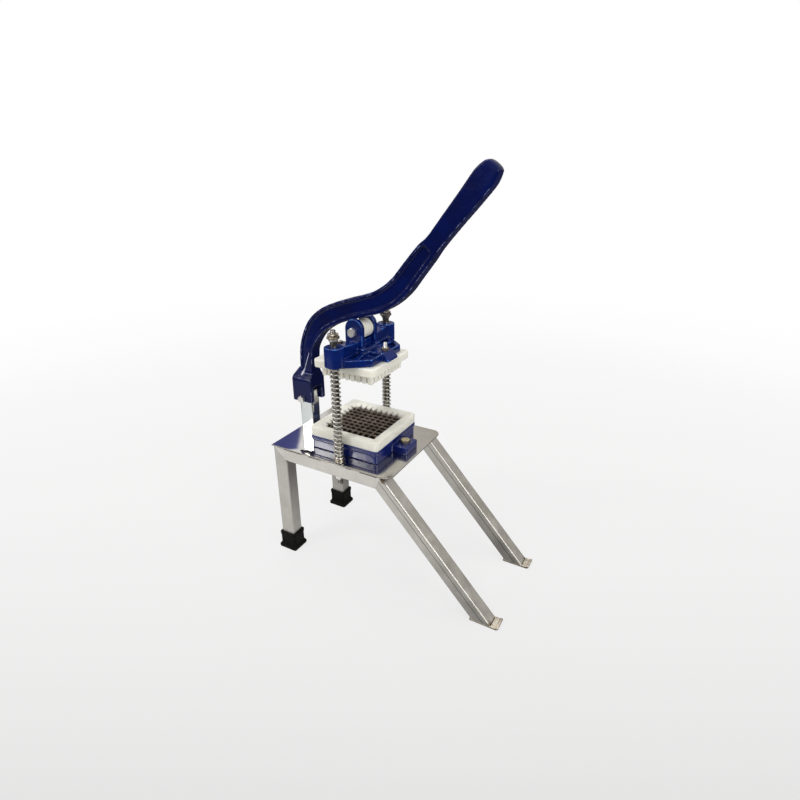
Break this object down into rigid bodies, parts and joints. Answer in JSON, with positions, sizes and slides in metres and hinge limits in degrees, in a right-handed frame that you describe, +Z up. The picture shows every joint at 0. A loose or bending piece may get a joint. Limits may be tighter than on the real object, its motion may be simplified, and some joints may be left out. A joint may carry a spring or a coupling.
{
  "type": "french fry cutter",
  "caption": "Lever-operated press that pushes a potato through a square grid of blades, on a steel stand with sloping front legs.",
  "frame": {"origin": "on the counter, under the middle of the overall box", "axes": "+X forward, the way the handle reaches out; +Y to the left of someone looking along +X; +Z up"},
  "size_m": [0.3952, 0.1774, 0.6101],
  "materials": {
    "brushed_tube": "satin",
    "polished_plate": "polished",
    "polished_post": "polished",
    "rubber": "matte",
    "base_blue": "gloss",
    "head_blue": "gloss",
    "lever_blue": "gloss",
    "nylon": "satin",
    "blade": "satin",
    "spring_steel": "satin",
    "zinc": "satin",
    "yellow_zinc": "satin"
  },
  "bodies": {
    "root": {"top_plate": "polished_plate", "left_rail": "brushed_tube", "right_rail": "brushed_tube", "left_rear_leg": "brushed_tube", "right_rear_leg": "brushed_tube", "left_front_leg": "brushed_tube", "right_front_leg": "brushed_tube", "rear_cross_member": "brushed_tube", "left_rear_foot": "rubber", "right_rear_foot": "rubber", "left_front_foot": "brushed_tube", "right_front_foot": "brushed_tube", "post": "polished_post", "pivot_bush": "zinc", "base_casting": "base_blue", "base_bolts": "yellow_zinc", "base_nuts": "zinc", "grid_frame": "nylon", "frame_screws": "zinc", "blades_lengthwise": "blade", "blades_crosswise": "blade", "left_guide_rod": "spring_steel", "right_guide_rod": "spring_steel", "rod_lower_nuts": "zinc", "rod_lower_washers": "zinc", "spring_washers": "zinc", "rod_stop_bumpers": "zinc", "rod_stop_washers": "zinc", "rod_stop_nuts": "zinc", "left_spring": "spring_steel", "right_spring": "spring_steel"},
    "lever": {"lever": "lever_blue", "pivot_bolt": "zinc", "pivot_nut": "zinc"},
    "head": {"press_head": "head_blue", "guide_bushes": "nylon", "pusher_block": "nylon", "pusher_studs": "zinc", "pusher_nuts": "zinc", "roller_pin": "zinc", "roller_nut": "zinc"},
    "roller": {"roller": "nylon"}
  },
  "joints": [
    {"name": "lever_press", "type": "hinge", "parent": "root", "child": "lever", "pos_m": [-0.1786, 0, 0.2535], "axis": [0, 1, 0], "range_deg": [-3.68, 44.18]},
    {"name": "head_slide", "type": "slide", "parent": "root", "child": "head", "axis": [0, 0, -1], "range_m": [-0.008, 0.096], "stiffness_N_per_m": 600, "springref_m": -0.0613, "deforming": ["left_spring", "right_spring"]},
    {"name": "roller_spin", "type": "hinge", "parent": "head", "child": "roller", "pos_m": [-0.0721, 0, 0.3819], "axis": [0, 1, 0], "continuous": true}
  ],
  "couplings": [
    {"joint": "head_slide", "follows": "lever_press", "m_per_rad": 0.1245}
  ]
}
